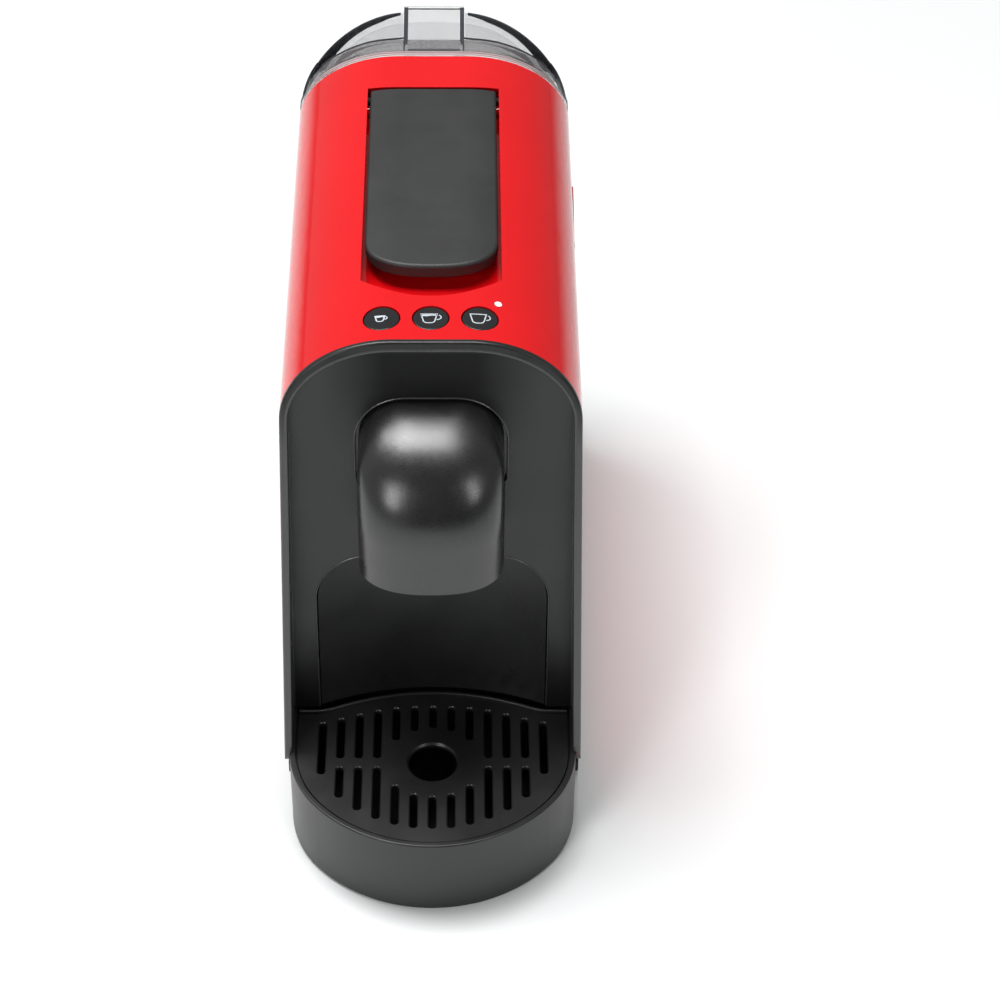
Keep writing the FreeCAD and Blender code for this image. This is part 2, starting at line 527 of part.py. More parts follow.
def cam_curves(w):
    n = 30
    t1 = math.radians(CAM_DEG)
    mid = [cam_point(t1 * i / n) for i in range(n + 1)]
    left, right = [], []
    for i, p in enumerate(mid):
        a, b = mid[max(0, i - 1)], mid[min(n, i + 1)]
        dx, dy = b[0] - a[0], b[1] - a[1]
        if i == 0:
            q = cam_point(1e-4)
            dx, dy = q[0] - p[0], q[1] - p[1]
        if i == n:
            q = cam_point(t1 - 1e-4)
            dx, dy = p[0] - q[0], p[1] - q[1]
        d = math.hypot(dx, dy)
        nx, ny = -dy / d, dx / d
        left.append((p[0] + nx * w, p[1] + ny * w))
        right.append((p[0] - nx * w, p[1] - ny * w))
    t0 = (mid[1][0] - mid[0][0], mid[1][1] - mid[0][1])
    t9 = (mid[-1][0] - mid[-2][0], mid[-1][1] - mid[-2][1])
    u0 = (t0[0] / math.hypot(*t0), t0[1] / math.hypot(*t0))
    u9 = (t9[0] / math.hypot(*t9), t9[1] / math.hypot(*t9))
    e0 = (mid[0][0] - u0[0] * w, mid[0][1] - u0[1] * w)
    e9 = (mid[-1][0] + u9[0] * w, mid[-1][1] + u9[1] * w)
    return left, right, e0, e9


def cam_face(w, x):
    left, right, e0, e9 = cam_curves(w)
    P = lambda p: V(x, PIVOT_Y + p[0], PIVOT_Z + p[1])
    cl = Part.BSplineCurve()
    cl.interpolate([P(p) for p in left])
    cr = Part.BSplineCurve()
    cr.interpolate([P(p) for p in right])
    edges = [cl.toShape(), Part.Arc(P(left[-1]), P(e9), P(right[-1])).toShape(), cr.toShape(),
             Part.Arc(P(left[0]), P(e0), P(right[0])).toShape()]
    return Part.Face(Part.Wire(Part.__sortEdges__(edges)))


def cam_plate(x0):
    outer = cam_face(6.6, x0).extrude(V(3, 0, 0))
    n = 16
    t1 = math.radians(CAM_DEG)
    fan = [(-46.0, -1.4), (4.0, -1.4)] + [cam_point(t1 * (1 - i / n)) for i in range(n + 1)]
    web = Part.Face(Part.makePolygon([V(x0, PIVOT_Y + y, PIVOT_Z + z) for y, z in fan + [fan[0]]])).extrude(V(3, 0, 0))
    body = outer.fuse(web).fuse(cyl(4.6, (x0, PIVOT_Y, PIVOT_Z), (1, 0, 0), 3))
    body = body.cut(box(x0 - 1, x0 + 4, 0, 200, PIVOT_Z - 1.25, 300).cut(cyl(4.6, (x0 - 1, PIVOT_Y, PIVOT_Z), (1, 0, 0), 6)))
    body = body.cut(cam_face(2.8, x0 - 1).extrude(V(5, 0, 0)))
    body = body.cut(cyl(2.05, (x0 - 1, PIVOT_Y, PIVOT_Z), (1, 0, 0), 6))
    return body


cam_r = cam_plate(17.0)
cam_l = cam_plate(-20.0)
# the handle is slotted where the cam hubs sit on the shaft
slots = [box(a - 0.02, a + 3.02, PIVOT_Y - 8, PIVOT_Y + 8, 236, PIVOT_Z - 1.2).fuse(cyl(4.62, (a - 0.02, PIVOT_Y, PIVOT_Z), (1, 0, 0), 3.04)) for a in (17.0, -20.0)]
h = nodes["lever_handle"]
for s in slots:
    h = h.cut(s)
nodes["lever_handle"] = solid_of(h)
nodes["lever_cams"] = Part.makeCompound([solid_of(cam_l), solid_of(cam_r)])

# ------------------------------------------------------------------- brew group
PIN_Y, PIN_Z = PIVOT_Y - CAM_S0, PIVOT_Z - CAM_H
bf = fuse([box(29.0, 32.0, -40, 108, 168, 208), box(-32.0, -29.0, -40, 108, 168, 208),
           box(-29.0, 29.0, -40, -34, 168, 208), box(-29.0, 29.0, 104, 108, 172, 204)])
for s in (-1, 1):
    bf = bf.fuse(box(min(s * 27, s * 32), max(s * 27, s * 32), 36, 42, 160.05, 168)).fuse(box(min(s * 27, s * 32), max(s * 27, s * 32), 96, 102, 160.05, 168))
bf = bf.cut(cyl(3.0, (24.5, -60, BREW_Z), (0, 1, 0), 200)).cut(cyl(3.0, (-24.5, -60, BREW_Z), (0, 1, 0), 200))
bf = bf.cut(cyl(3.0, (0, 90, BREW_Z), (0, 1, 0), 40)).cut(cyl(4.9, (0, -60, 182), (0, 1, 0), 30))
nodes["brew_frame"] = solid_of(bf.removeSplitter())
nodes["guide_rods"] = Part.makeCompound([cyl(3.0, (x, -40, BREW_Z), (0, 1, 0), 148) for x in (-24.5, 24.5)])
holder = cyl(20.0, (0, -34, BREW_Z), (0, 1, 0), 28).cut(cyl(17.2, (0, -26, BREW_Z), (0, 1, 0), 30))
holder = holder.cut(cyl(3.2, (0, -40, 182), (0, 1, 0), 20))
nodes["capsule_holder"] = solid_of(holder)
carr = fuse([cyl(16.5, (0, -10, BREW_Z), (0, 1, 0), 55), box(-28.5, 28.5, 44, 68, 174, 202), box(-14.5, 14.5, 49, 66, 201, 233)])
carr = carr.cut(cyl(3.06, (24.5, 0, BREW_Z), (0, 1, 0), 100)).cut(cyl(3.06, (-24.5, 0, BREW_Z), (0, 1, 0), 100))
carr = carr.cut(cyl(3.08, (0, 8, BREW_Z), (0, 1, 0), 100)).cut(cyl(2.5, (-30, PIN_Y, PIN_Z), (1, 0, 0), 60))
carr = carr.cut(cyl(0.8, (0, -20, BREW_Z), (0, 1, 0), 40))
nodes["piston_carriage"] = solid_of(carr.removeSplitter())
nodes["cam_pin"] = cyl(2.5, (-21.0, PIN_Y, PIN_Z), (1, 0, 0), 42.0)
nodes["water_tube"] = solid_of(ring(3.0, 2.0, (0, 45.0, BREW_Z), (0, 1, 0), 67.0))
chute = box(-22.6, 22.6, -9.6, 23.6, 208.5, POCKET_FLOOR - 2.0).cut(box(-21, 21, -8, 22, 200, 240))
nodes["capsule_chute"] = solid_of(chute)

# ---------------------------------------------------------------------- chassis
ch = fuse([box(50, 53, 24, 124, Z_SILL + 0.05, 160), box(-53, -50, 24, 124, Z_SILL + 0.05, 160), box(-50, 50, 24, 124, 157, 160)])
ch = ch.cut(box(-8, 8, 108, 130, 150, 170))
ch = ch.cut(prism_x([(40, 40), (110, 40), (110, 140), (40, 140)], [12] * 4, -60, 60))
for x, y in SCREWS[2:]:
    ch = ch.cut(cyl(6.3, (x, y, 0), (0, 0, 1), 19))
nodes["chassis"] = solid_of(ch.removeSplitter())

# ------------------------------------------------------------------ water system
pump = fuse([cyl(20.0, (PUMP_X, 50, PUMP_Z), (0, 1, 0), 42), cyl(9.0, (PUMP_X, 92, PUMP_Z), (0, 1, 0), 8),
             cyl(5.0, (PUMP_X, 100, PUMP_Z), (0, 1, 0), 4), cyl(10.0, (PUMP_X, 40, PUMP_Z), (0, 1, 0), 10),
             cyl(5.0, (PUMP_X, 34, PUMP_Z), (0, 1, 0), 6), box(PUMP_X - 15, PUMP_X + 15, 62, 80, PUMP_Z + 5, PUMP_Z + 24)])
pump = pump.cut(cyl(2.0, (PUMP_X, 20, PUMP_Z), (0, 1, 0), 100))
nodes["pump"] = solid_of(pump)
nodes["pump_mounts"] = Part.makeCompound([solid_of(ring(24.0, 20.0, (PUMP_X, y, PUMP_Z), (0, 1, 0), 6)) for y in (52.0, 84.0)])
tb = box(-40, 20, 46, 106, 104, 146)
tb = tb.makeFillet(6.0, [e for e in tb.Edges if e.BoundBox.ZLength > 30])
for x, y in ((-30, 56), (10, 56), (-30, 96), (10, 96)):
    tb = tb.fuse(cyl(4.0, (x, y, 145), (0, 0, 1), 11.95))
for z in (112.0, 120.0, 128.0, 136.0):
    tb = tb.cut(box(17.5, 30, 40, 66, z, z + 3.0)).cut(box(17.5, 30, 88, 110, z, z + 3.0))
tb = tb.cut(cyl(2.0, (PUMP_X, 40, 125), (0, 1, 0), 30)).cut(cyl(2.0, (0, 90, 125), (0, 1, 0), 30))
nodes["thermoblock"] = solid_of(tb.removeSplitter())
th = fuse([cyl(8.0, (20.0, 76, 125), (1, 0, 0), 5.0), cyl(5.5, (25.0, 76, 125), (1, 0, 0), 4.0),
           box(28.5, 30.0, 72, 73, 121, 129), box(28.5, 30.0, 79, 80, 121, 129)])
nodes["thermostat"] = solid_of(th)
fm = fuse([cyl(12.0, (0, 112, 12.0), (0, 0, 1), 17.0), cyl(4.0, (0, 120, 20), (0, 1, 0), 8.0), cyl(3.0, (-15, 112, 20), (1, 0, 0), 8.0),
           box(-9, 9, 103, 121, 10.0, 12.5)])
fm = fm.cut(cyl(2.0, (0, 112, 20), (0, 1, 0), 20)).cut(cyl(1.8, (-20, 112, 20), (1, 0, 0), 20))
nodes["flow_meter"] = solid_of(fm)
lengths = {}
nodes["hose_inlet"] = solid_of(ring(4.0, 2.4, (0, 128, 20), (0, 1, 0), 12.0))
h2, lengths["hose_suction"] = tube([(-15, 112, 20), (PUMP_X, 112, 20), (PUMP_X, 112, PUMP_Z), (PUMP_X, 104, PUMP_Z)], [8.0, 7.0], 3.0, 1.8)
nodes["hose_suction"] = solid_of(h2)
h3, lengths["hose_pressure"] = tube([(PUMP_X, 34, PUMP_Z), (PUMP_X, 21, PUMP_Z), (PUMP_X, 21, 125), (PUMP_X, 46, 125)], [10.0, 14.0], 3.0, 1.8)
nodes["hose_pressure"] = solid_of(h3)
h4, lengths["hose_hot"] = tube([(0, 106, 125), (0, 120.5, 125), (0, 120.5, BREW_Z), (0, 112, BREW_Z)], [10.0, 8.0], 3.0, 1.8)
nodes["hose_hot"] = solid_of(h4)

seat = fuse([cyl(11.0, (0, SEAT_Y, 13.5), (0, 0, 1), 16.5), cyl(4.0, (0, 140, 20), (0, 1, 0), 6.0)])
seat = seat.cut(cyl(9.0, (0, SEAT_Y, 20.5), (0, 0, 1), 20)).cut(cyl(2.4, (0, 138, 20), (0, 1, 0), 16)).cut(cyl(3.0, (0, SEAT_Y, 17.5), (0, 0, 1), 6))
nodes["tank_seat"] = solid_of(seat)
nodes["tank_seal"] = solid_of(ring(9.0, 8.3, (0, SEAT_Y, 25.0), (0, 0, 1), 3.0))

# ------------------------------------------------------------------- water tank
Z_T0, Z_T1 = 30.6, 219.8
tank = tank_plan(0.5, Z_T0, Z_T1).cut(tank_plan(2.7, Z_T0 + 3.0, Z_T1 + 5))
tank = tank.fuse(cyl(8.0, (0, SEAT_Y, 22.0), (0, 0, 1), 10)).cut(cyl(5.0, (0, SEAT_Y, 10), (0, 0, 1), 40))
for s in (-1, 1):
    x0, x1 = sorted((s * 9.4, s * 15.0))
    lug = cyl(2.6, (x0, LID_AXIS_Y, LID_AXIS_Z), (1, 0, 0), x1 - x0).fuse(
        prism_x([(LID_AXIS_Y - 3.0, 208), (LID_AXIS_Y - 1.0, 208), (LID_AXIS_Y + 2.6, LID_AXIS_Z - 1.5), (LID_AXIS_Y + 2.6, LID_AXIS_Z),
                 (LID_AXIS_Y - 0.4, LID_AXIS_Z), (LID_AXIS_Y - 3.0, 219.7)], [0] * 6, x0, x1))
    tank = tank.fuse(lug)
tank = tank.cut(cyl(1.45, (-16, LID_AXIS_Y, LID_AXIS_Z), (1, 0, 0), 32))
# room for the lid's knuckle
tank = tank.cut(cyl(3.0, (-9.4, LID_AXIS_Y, LID_AXIS_Z), (1, 0, 0), 18.8))
nodes["water_tank"] = solid_of(tank.removeSplitter())
nodes["lid_pin"] = cyl(1.45, (-15.0, LID_AXIS_Y, LID_AXIS_Z), (1, 0, 0), 30.0)
valve = fuse([cyl(4.2, (0, SEAT_Y, 30.0), (0, 0, 1), 2.2), cyl(6.8, (0, SEAT_Y, 33.65), (0, 0, 1), 2.0), cyl(1.6, (0, SEAT_Y, 23.0), (0, 0, 1), 24.0),
              cyl(4.0, (0, SEAT_Y, 46.0), (0, 0, 1), 1.6)])
nodes["tank_valve"] = solid_of(valve)

# --------------------------------------------------------------------- tank lid
LZ = 220.2
LID_BAND = 147.0     # the roof is full height in front of this line, then hollowed each side of the strap
lid_out = tank_plan(0.0, LZ, 260).common(arch(1.2, 200, 130, 180))
rim_band = tank_plan(0.0, LZ, 260).common(arch(0, 200, 130, TANK_FRONT + 3.2))
hollow = tank_plan(2.5, 227.0, 260, LID_BAND).cut(arch(9.0, 190, 120, 190, 4.2)).cut(box(-14.7, 14.7, 130, 180, 190, 262))
strap_keep = box(-14.7, 14.7, TANK_FRONT, 178.4, 200, 260)
strap = arch(0, 200, TANK_FRONT, 178.4).common(strap_keep)
strap = strap.common(prism_x([(TANK_FRONT, 222.6), (178.4, 228.0), (178.4, H_TOP + 1), (TANK_FRONT, H_TOP + 1)], [0, 1.0, 5.0, 0], -20, 20))
lid = fuse([lid_out, rim_band, strap])
for half in hollow.Solids:
    lid = lid.cut(half)
inside = tank_plan(2.2, 200, 260).common(arch(11.3, 190, 120, 185, 6.4))
inside_front = tank_plan(2.2, 200, 260).common(arch(3.3, 190, 120, LID_BAND - 2.1))
lid = lid.cut(inside.fuse(inside_front))
knuckle = cyl(2.6, (-9.0, LID_AXIS_Y, LID_AXIS_Z), (1, 0, 0), 18.0).fuse(
    prism_x([(LID_AXIS_Y - 2.6, LID_AXIS_Z + 0.3), (LID_AXIS_Y + 2.6, LID_AXIS_Z), (LID_AXIS_Y + 2.6, 232), (LID_AXIS_Y - 3.0, 232)], [0] * 4, -9.0, 9.0))
lid = lid.cut(box(-15.7, 15.7, TANK_REAR, 179, 200, 224.2).cut(box(-9.0, 9.0, 170, 180, 190, 230)))
lid = lid.fuse(knuckle).cut(cyl(1.5, (-20, LID_AXIS_Y, LID_AXIS_Z), (1, 0, 0), 40))
# clear of the tank's hinge lugs
for s in (-1, 1):
    x0, x1 = sorted((s * 9.05, s * 15.7))
    lid = lid.cut(cyl(3.0, (x0, LID_AXIS_Y, LID_AXIS_Z), (1, 0, 0), x1 - x0))
nodes["tank_lid"] = solid_of(lid.removeSplitter())

# --------------------------------------------------------- drip tray, grid, bin
tray = tray_plan(0.0, TRAY_BACK, TRAY_Z0, TRAY_LIP)
low = [e for e in tray.Edges if e.BoundBox.ZMax < TRAY_Z0 + 0.01 and e.BoundBox.YMin < TRAY_BACK - 1]
tray = tray.makeFillet(1.2, low)
high = [e for e in tray.Edges if e.BoundBox.ZMin > TRAY_LIP - 0.01 and e.BoundBox.YMin < TRAY_BACK - 1]
tray = tray.makeFillet(0.8, high)
tray = tray.cut(tray_plan(2.5, TRAY_BACK - 2.5, TRAY_Z0 + 2.2, 37.6))
tray = tray.cut(tray_plan(5.0, TRAY_BACK - 5.0, 30, 60))
tray = tray.cut(tray_plan(2.5, TRAY_BACK - 2.5, 40.6, 60))
nodes["drip_tray"] = solid_of(tray.removeSplitter())


def niche_front(off, z0, z1):
    """Everything behind the curved, sloping face that closes the niche."""
    yc = NICHE_MID - NICHE_ARC_R + off
    P = lambda x, y: V(x, y + (z0 - P1_Z) * P1_K, z0)
    x = 60.0
    ye = yc + math.sqrt(NICHE_ARC_R ** 2 - x ** 2)
    w = Part.Wire([Part.Arc(P(-x, ye), P(0, yc + NICHE_ARC_R), P(x, ye)).toShape(), Part.makeLine(P(x, ye), P(x, 60)),
                   Part.makeLine(P(x, 60), P(-x, 60)), Part.makeLine(P(-x, 60), P(-x, ye))])
    return Part.Face(w).extrude(V(0, (z1 - z0) * P1_K, z1 - z0))


BIN_Z0, BIN_Z1, BIN_BACK = 46.2, 120.0, 11.0
bin_arch = prism_y([(-NICHE_HW, BIN_Z0), (NICHE_HW, BIN_Z0), (NICHE_HW, NICHE_TOP), (-NICHE_HW, NICHE_TOP)], [1, 1, NICHE_R, NICHE_R], -140, 60)
bfront = niche_front(0.0, 30, 160).cut(niche_front(2.4, 29, 161)).common(bin_arch)
bbox_ = box(-50, 50, -120, BIN_BACK, BIN_Z0, BIN_Z1).common(bin_arch).common(niche_front(1.0, 30, 160))
bbox_ = bbox_.cut(box(-47.8, 47.8, -120, BIN_BACK - 2.2, BIN_Z0 + 2.2, 200).common(niche_front(2.4, 29, 210)))
cbin = fuse([bfront, bbox_])
nodes["capsule_bin"] = solid_of(cbin)

GRID_Z0, GRID_Z1, GRID_RIM = 40.75, 43.2, 44.9


def grid_rear(shift):
    """Everything behind the wavy rear edge of the grid."""
    half = [(0.0, -84.05), (10.0, -84.5), (20.0, -85.9), (30.0, -88.2), (38.0, -90.75), (44.0, -93.0), (49.0, -94.75), (53.5, -95.5), (58.0, -95.6), (64.0, -95.6)]
    pts = [V(-x, y + shift, 30) for x, y in reversed(half[1:])] + [V(x, y + shift, 30) for x, y in half]
    c = Part.BSplineCurve()
    c.interpolate(pts, InitialTangent=V(1, 0, 0), FinalTangent=V(1, 0, 0))
    a, b = V(64, -30, 30), V(-64, -30, 30)
    w = Part.Wire([c.toShape(), Part.makeLine(pts[-1], a), Part.makeLine(a, b), Part.makeLine(b, pts[0])])
    return Part.Face(w).extrude(V(0, 0, 30))


grid = tray_plan(3.5, -70, GRID_Z0, GRID_Z1).cut(grid_rear(0.0))
bead = tray_plan(3.5, -70, GRID_Z0, GRID_RIM).cut(grid_rear(0.0)).common(grid_rear(-1.9))
bead_top = [e for e in bead.Edges if e.BoundBox.ZMin > GRID_RIM - 0.01 and e.BoundBox.XLength > 50]
try:
    bd = bead.makeFillet(0.7, bead_top)
    if bd.isValid():
        bead = bd
except Exception as err:
    print("bead fillet left out")
grid = fuse([solid_of(grid), solid_of(bead)])
SLOTS = {6: [(-102.3, -134.7)], 5: [(-99.8, -125.0), (-129.6, -148.8)], 4: [(-97.1, -125.0), (-129.6, -156.3)],
         3: [(-94.7, -125.0), (-129.6, -161.4)], 2: [(-93.1, -113.9), (-140.7, -164.8)],
         1: [(-92.4, -108.2), (-145.9, -166.8)], 0: [(-92.3, -106.4), (-147.4, -167.2)]}
PITCH, SLOT_W, SLOT_EASE = 8.47, 3.4, 0.5


def slot_wire(x, y0, y1, s, z):
    return rounded_edges([(x - s, y0), (x + s, y0), (x + s, y1), (x - s, y1)], [s * 0.96] * 4, lambda a, b: V(a, b, z))


cuts = []
for i in range(-6, 7):
    for y1, y0 in SLOTS[abs(i)]:
        x, s, e = i * PITCH, SLOT_W / 2, SLOT_EASE
        cuts.append(Part.Face(slot_wire(x, y0 + e, y1 - e, s, 30)).extrude(V(0, 0, 30)))
        # eased upper edge
        cuts.append(Part.makeLoft([slot_wire(x, y0 + e, y1 - e, s, GRID_Z1 - e), slot_wire(x, y0 - 0.1, y1 + 0.1, s + e + 0.1, GRID_Z1 + 0.1)], True, True))
HOLE_Y, HOLE_R = -127.2, 11.0
cuts.append(cyl(HOLE_R, (0, HOLE_Y, 30), (0, 0, 1), 30))
cuts.append(Part.makeCone(HOLE_R, HOLE_R + 1.0, 1.0, V(0, HOLE_Y, GRID_Z1 - 0.9), V(0, 0, 1)))
for c in cuts:
    grid = grid.cut(c)
nodes["drip_grid"] = solid_of(grid)

# ------------------------------------------------------------------------ write
for name, shape in sorted(nodes.items()):
    vol = shape.Volume
    n = len(shape.Solids)
    ok = shape.isValid() and vol > 0 and n > 0
    bb = shape.BoundBox
    print("%-16s solids %2d vol %10.1f  %s  x %.1f..%.1f y %.1f..%.1f z %.1f..%.1f" % (
        name, n, vol, "ok" if ok else "BAD", bb.XMin, bb.XMax, bb.YMin, bb.YMax, bb.ZMin, bb.ZMax))
    shape.exportStep("parts/%s.step" % name)
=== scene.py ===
import json
import math

import bmesh
import bpy
from mathutils import Matrix, Vector


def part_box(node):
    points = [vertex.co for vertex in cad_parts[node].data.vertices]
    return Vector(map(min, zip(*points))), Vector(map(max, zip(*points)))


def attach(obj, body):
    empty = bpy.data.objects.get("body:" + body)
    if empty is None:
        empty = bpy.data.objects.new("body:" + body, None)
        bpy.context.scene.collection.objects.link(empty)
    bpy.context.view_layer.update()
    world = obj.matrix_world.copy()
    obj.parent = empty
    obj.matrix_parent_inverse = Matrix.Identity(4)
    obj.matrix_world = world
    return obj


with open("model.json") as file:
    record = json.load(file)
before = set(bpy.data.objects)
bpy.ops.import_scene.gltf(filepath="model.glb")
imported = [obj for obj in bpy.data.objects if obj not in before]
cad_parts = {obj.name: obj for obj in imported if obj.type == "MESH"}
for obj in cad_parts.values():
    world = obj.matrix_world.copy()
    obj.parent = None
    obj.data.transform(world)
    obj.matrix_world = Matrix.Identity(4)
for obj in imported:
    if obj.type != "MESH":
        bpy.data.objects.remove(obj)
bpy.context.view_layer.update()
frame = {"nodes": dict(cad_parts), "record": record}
nodes = frame["nodes"]
scene = bpy.context.scene
MM = 0.001


# ------------------------------------------------------------------- node tools
class Mat:
    """A small builder for one procedural material."""

    def __init__(self, name):
        self.m = bpy.data.materials.new(name)
        self.m.use_nodes = True
        self.t = self.m.node_tree
        self.b = self.t.nodes["Principled BSDF"]
        self.co = self.t.nodes.new("ShaderNodeTexCoord").outputs["Object"]

    def set(self, **kw):
        names = {"color": "Base Color", "rough": "Roughness", "metal": "Metallic", "ior": "IOR", "spec": "Specular IOR Level",
                 "coat": "Coat Weight", "coat_rough": "Coat Roughness", "trans": "Transmission Weight", "alpha": "Alpha",
                 "sss": "Subsurface Weight", "emit": "Emission Strength", "emit_color": "Emission Color"}
        for k, v in kw.items():
            s = self.b.inputs[names[k]]
            s.default_value = (*v, 1.0) if isinstance(v, tuple) and len(v) == 3 else v
        return self

    def noise(self, scale, detail=3.0, rough=0.5, stretch=None, w=0.0):
        n = self.t.nodes.new("ShaderNodeTexNoise")
        n.inputs["Scale"].default_value = scale
        n.inputs["Detail"].default_value = detail
        n.inputs["Roughness"].default_value = rough
        src = self.co
        if stretch:
            mp = self.t.nodes.new("ShaderNodeMapping")
            mp.inputs["Scale"].default_value = stretch
            mp.inputs["Location"].default_value = (w, w * 0.7, w * 1.3)
            self.t.links.new(src, mp.inputs["Vector"])
            src = mp.outputs["Vector"]
        self.t.links.new(src, n.inputs["Vector"])
        return n.outputs["Fac"]

    def voronoi(self, scale, feature="F1"):
        n = self.t.nodes.new("ShaderNodeTexVoronoi")
        n.feature = feature
        n.inputs["Scale"].default_value = scale
        self.t.links.new(self.co, n.inputs["Vector"])
        return n.outputs["Distance"]

    def ramp(self, fac, stops):
        r = self.t.nodes.new("ShaderNodeValToRGB")
        e = r.color_ramp.elements
        while len(e) < len(stops):
            e.new(0.5)
        for el, (p, c) in zip(e, stops):
            el.position = p
            el.color = (c, c, c, 1) if isinstance(c, float) else (*c, 1)
        self.t.links.new(fac, r.inputs["Fac"])
        return r.outputs["Color"]

    def remap(self, fac, a, b, lo=0.3, hi=0.7):
        n = self.t.nodes.new("ShaderNodeMapRange")
        n.inputs["From Min"].default_value = lo
        n.inputs["From Max"].default_value = hi
        n.inputs["To Min"].default_value = a
        n.inputs["To Max"].default_value = b
        self.t.links.new(fac, n.inputs["Value"])
        return n.outputs["Result"]

    def math(self, op, a, b):
        n = self.t.nodes.new("ShaderNodeMath")
        n.operation = op
        for i, v in enumerate((a, b)):
            if isinstance(v, (int, float)):
                n.inputs[i].default_value = v
            else:
                self.t.links.new(v, n.inputs[i])
        return n.outputs[0]

    def mix(self, fac, c0, c1):
        n = self.t.nodes.new("ShaderNodeMix")
        n.data_type = "RGBA"
        for sock, v in ((n.inputs[0], fac), (n.inputs[6], c0), (n.inputs[7], c1)):
            if isinstance(v, (int, float)):
                sock.default_value = v
            elif isinstance(v, tuple):
                sock.default_value = (*v, 1.0)
            else:
                self.t.links.new(v, sock)
        return n.outputs[2]

    def bump(self, height, dist, strength=1.0):
        n = self.t.nodes.new("ShaderNodeBump")
        n.inputs["Distance"].default_value = dist
        n.inputs["Strength"].default_value = strength
        self.t.links.new(height, n.inputs["Height"])
        last = self.b.inputs["Normal"]
        if last.is_linked:
            self.t.links.new(last.links[0].from_socket, n.inputs["Normal"])
        self.t.links.new(n.outputs["Normal"], last)
        return self

    def link(self, out, name):
        self.t.links.new(out, self.b.inputs[name])
        return self

    def sep(self):
        n = self.t.nodes.new("ShaderNodeSeparateXYZ")
        self.t.links.new(self.co, n.inputs[0])
        return n.outputs


def plastic(name, dark, light, rough, grain_mm, grain_depth, spread=0.06, spec=0.5):
    """Moulded plastic with a fine spark-eroded grain and soft handling marks."""
    m = Mat(name)
    m.set(spec=spec)
    big = m.noise(38.0, 4.0, 0.55)
    m.link(m.ramp(big, [(0.35, dark), (0.65, light)]), "Base Color")
    fine = m.noise(1.0 / (grain_mm * MM), 2.0, 0.6)
    mid = m.noise(0.25 / (grain_mm * MM), 2.0, 0.5)
    r = m.remap(big, rough - spread * 0.5, rough + spread * 0.5, 0.35, 0.65)
    m.link(m.math("ADD", r, m.remap(fine, -spread, spread)), "Roughness")
    m.bump(fine, grain_depth * MM, 0.55)
    m.bump(mid, grain_depth * 1.5 * MM, 0.25)
    return m.m


def panel_black(name):
    """Satin panel whose raised rim sides carry a lighter grey, a painted highlight for their sheen."""
    m = Mat(name)
    x, y, z = m.sep()
    ax = m.math("ABSOLUTE", x, 0.0)
    big = m.noise(38.0, 4.0, 0.55)
    face = m.ramp(big, [(0.35, (0.0085, 0.0085, 0.0090)), (0.65, (0.0110, 0.0110, 0.0115))])
    edge = m.math("ADD", ax, m.math("MULTIPLY", m.math("SUBTRACT", z, 0.213), 0.0167))
    # painted highlight: a lighter grey mixed in along the rim's sides stands for the sheen they reflect
    rim_painted_sheen = m.math("MULTIPLY", m.remap(edge, 0.0, 1.0, 0.0609, 0.0616), m.remap(z, 1.0, 0.0, 0.200, 0.222))
    m.link(m.mix(rim_painted_sheen, face, (0.070, 0.070, 0.071)), "Base Color")
    calm = m.math("MULTIPLY", m.remap(ax, 1.0, 0.0, 0.020, 0.048), m.remap(z, 0.0, 1.0, 0.196, 0.228))
    calm = m.math("MULTIPLY", calm, m.remap(z, 1.0, 0.0, 0.2440, 0.2465))
    m.link(m.math("SUBTRACT", 0.52, m.math("MULTIPLY", calm, 0.40)), "Specular IOR Level")
    fine = m.noise(1.0 / (0.35 * MM), 2.0, 0.6)
    r = m.remap(big, 0.31, 0.37, 0.35, 0.65)
    m.link(m.math("ADD", r, m.remap(fine, -0.06, 0.06)), "Roughness")
    m.bump(fine, 0.010 * MM, 0.55)
    return m.m


def gloss_red(name="red_gloss"):
    m = Mat(name)
    m.set(spec=0.5, ior=1.5)
    big = m.noise(22.0, 3.0, 0.5)
    m.link(m.ramp(big, [(0.3, (0.60, 0.0030, 0.0056)), (0.7, (0.64, 0.0038, 0.0066))]), "Base Color")
    scuff = m.noise(900.0, 2.0, 0.5, (1.0, 0.08, 0.3))
    m.link(m.math("ADD", m.remap(big, 0.06, 0.10), m.remap(scuff, 0.0, 0.04, 0.55, 0.8)), "Roughness")
    m.bump(m.noise(140.0, 2.0, 0.4), 0.03 * MM, 0.10)
    return m.m


M = {
    "red_gloss": gloss_red(),
    "black_panel": panel_black("black_panel"),
    "black_spout": plastic("black_spout", (0.0105, 0.0105, 0.0109), (0.0130, 0.0130, 0.0134), 0.30, 0.30, 0.006, spec=0.80),
    "black_lever": plastic("black_lever", (0.0175, 0.0181, 0.0184), (0.0210, 0.0216, 0.0219), 0.50, 0.45, 0.025),
    "black_tray": plastic("black_tray", (0.0105, 0.0105, 0.0108), (0.0140, 0.0140, 0.0143), 0.36, 0.35, 0.012),
    "black_base": plastic("black_base", (0.010, 0.010, 0.0105), (0.014, 0.014, 0.0145), 0.55, 0.6, 0.05),
    "button_black": plastic("button_black", (0.0100, 0.0105, 0.0115), (0.0130, 0.0135, 0.0145), 0.22, 0.4, 0.003),
}


def simple(name, c0, c1, rough, scale=60.0, metal=0.0, grain=0.4, depth=0.01, stretch=None):
    m = Mat(name)
    m.set(metal=metal)
    n = m.noise(scale, 4.0, 0.55)
    m.link(m.ramp(n, [(0.35, c0), (0.65, c1)]), "Base Color")
    f = m.noise(1.0 / (grain * MM), 2.0, 0.6, stretch)
    m.link(m.math("ADD", m.remap(n, rough - 0.04, rough + 0.04), m.remap(f, -0.06, 0.06)), "Roughness")
    m.bump(f, depth * MM, 0.5)
    return m.m


